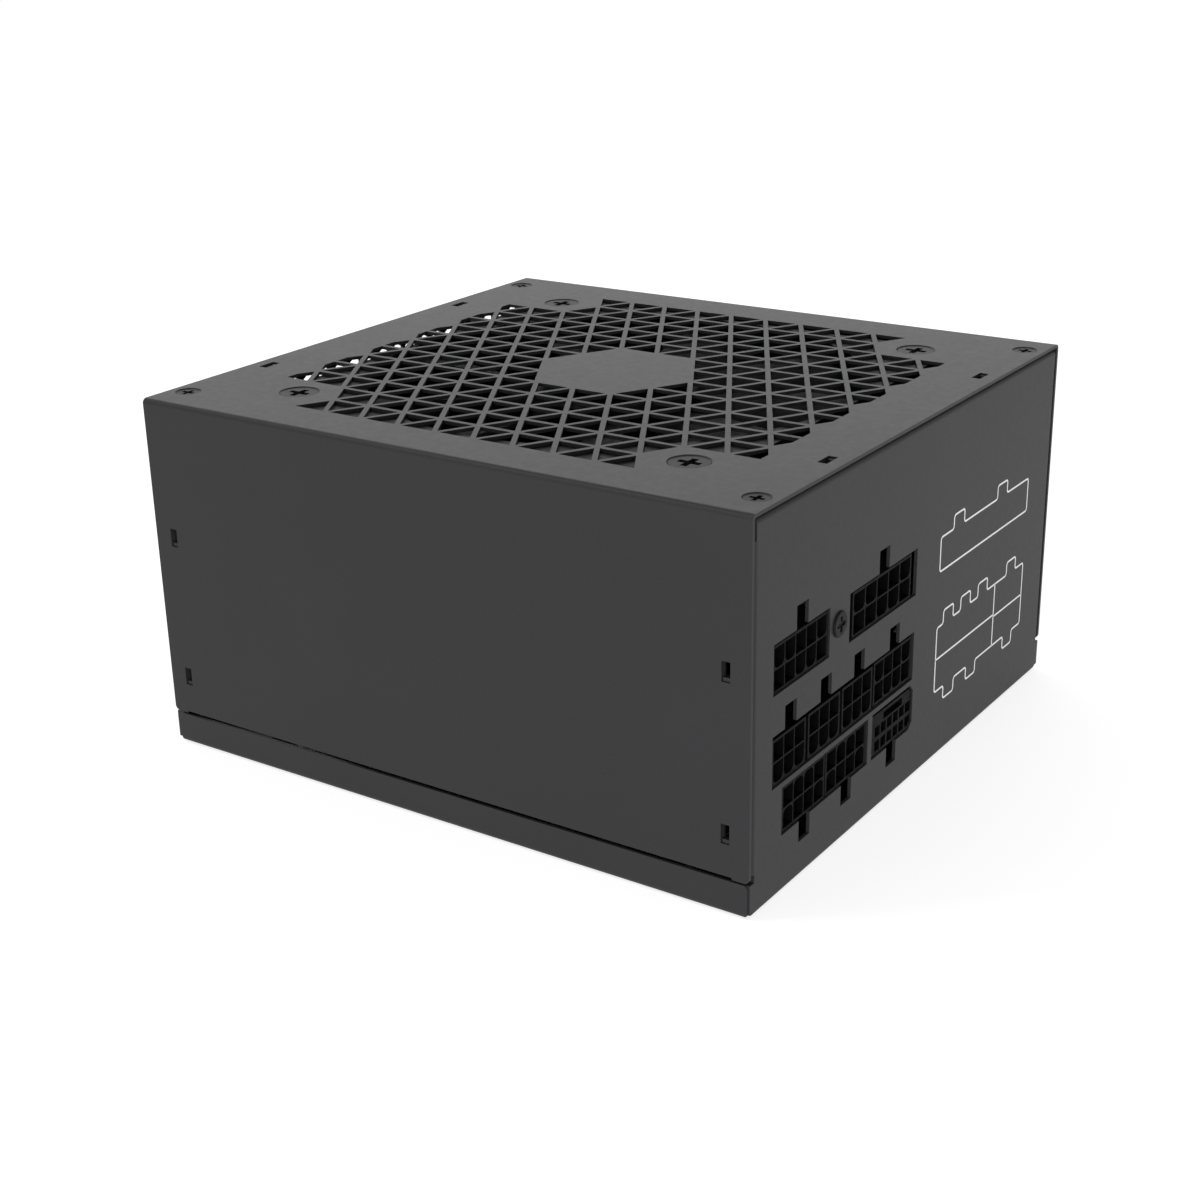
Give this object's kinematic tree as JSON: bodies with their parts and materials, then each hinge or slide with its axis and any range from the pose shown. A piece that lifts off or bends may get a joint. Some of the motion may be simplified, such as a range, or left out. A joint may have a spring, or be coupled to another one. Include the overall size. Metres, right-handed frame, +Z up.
{
  "type": "power supply unit",
  "caption": "Modular ATX power supply: folded steel case with a triangle-lattice fan grille on top, modular sockets at one end, mains inlet and rocker switch at the other.",
  "frame": {"origin": "centre of the underside of the case", "axes": "+Z up, through the fan grille; -Y out of the modular socket panel; +Y out of the mains inlet panel; X across the 150 mm width"},
  "size_m": [0.15, 0.1641, 0.086],
  "materials": {
    "case_steel": "fine satin powder coat, dark grey",
    "black_screw": "black zinc, semi-gloss",
    "zinc_steel": "zinc plated",
    "black_plastic": "fine moulded black nylon",
    "fan_plastic": "satin black fan plastic",
    "contact_metal": "tin and gold flashed contacts",
    "copper": "enamelled copper wire",
    "bare_aluminium": "extruded, as drawn",
    "ferrite": "sintered, matt",
    "core_green": "coated ring core",
    "core_steel": "stacked laminations",
    "board": "solder mask over glass laminate",
    "can_sleeve": "shrunk sleeve",
    "yellow_tape": "polyester tape",
    "insulation": "clear film",
    "lead_sleeve": "smooth insulation",
    "earth_sleeve": "smooth green and yellow insulation"
  },
  "bodies": {
    "chassis": {"top_cover": "case_steel", "fan_grille": "case_steel", "base_tray": "case_steel", "modular_panel": "case_steel", "cover_screws": "black_screw", "fan_screws": "black_screw", "panel_screws": "black_screw", "board_screws": "zinc_steel", "board_standoffs": "zinc_steel", "panel_pillar": "zinc_steel", "ac_inlet": "black_plastic", "switch_body": "black_plastic", "socket_10": "black_plastic", "socket_10_wide": "black_plastic", "sockets_6": "black_plastic", "sockets_8": "black_plastic", "socket_12v": "black_plastic", "fan_plug": "black_plastic", "relay": "black_plastic", "bridge_rectifier": "black_plastic", "primary_transistors": "black_plastic", "secondary_transistors": "black_plastic", "fan_frame": "fan_plastic", "inlet_blades": "contact_metal", "switch_terminals": "contact_metal", "socket_pins": "contact_metal", "fan_bearing": "contact_metal", "fan_windings": "copper", "filter_choke_windings": "copper", "boost_choke_winding": "copper", "busbars": "copper", "primary_heatsink": "bare_aluminium", "secondary_heatsink": "bare_aluminium", "solid_capacitors": "bare_aluminium", "transformer_cores": "ferrite", "resonant_inductor_core": "ferrite", "converter_chokes": "ferrite", "filter_choke_cores": "core_green", "boost_choke_core": "core_green", "fan_stator": "core_steel", "main_board": "board", "modular_board": "board", "filter_board": "board", "converter_boards": "board", "control_board": "board", "fan_circuit_board": "board", "bulk_capacitor": "can_sleeve", "output_capacitors": "can_sleeve", "transformer_windings": "yellow_tape", "resonant_inductor_winding": "yellow_tape", "filter_capacitors": "yellow_tape", "resonant_capacitors": "yellow_tape", "insulation_sheet": "insulation", "mains_leads": "lead_sleeve", "fan_lead": "lead_sleeve", "earth_lead": "earth_sleeve"},
    "fan_rotor": {"fan_impeller": "fan_plastic", "fan_shaft": "zinc_steel", "rotor_magnet": "ferrite"},
    "power_rocker": {"rocker_button": "black_plastic"}
  },
  "joints": [
    {"name": "fan_spin", "type": "hinge", "parent": "chassis", "child": "fan_rotor", "pos_m": [0, 0, 0.07], "axis": [0, 0, 1], "continuous": true},
    {"name": "rocker_tilt", "type": "hinge", "parent": "chassis", "child": "power_rocker", "pos_m": [0.006, 0.0793, 0.04], "axis": [1, 0, 0], "range_deg": [-20, 0]}
  ]
}
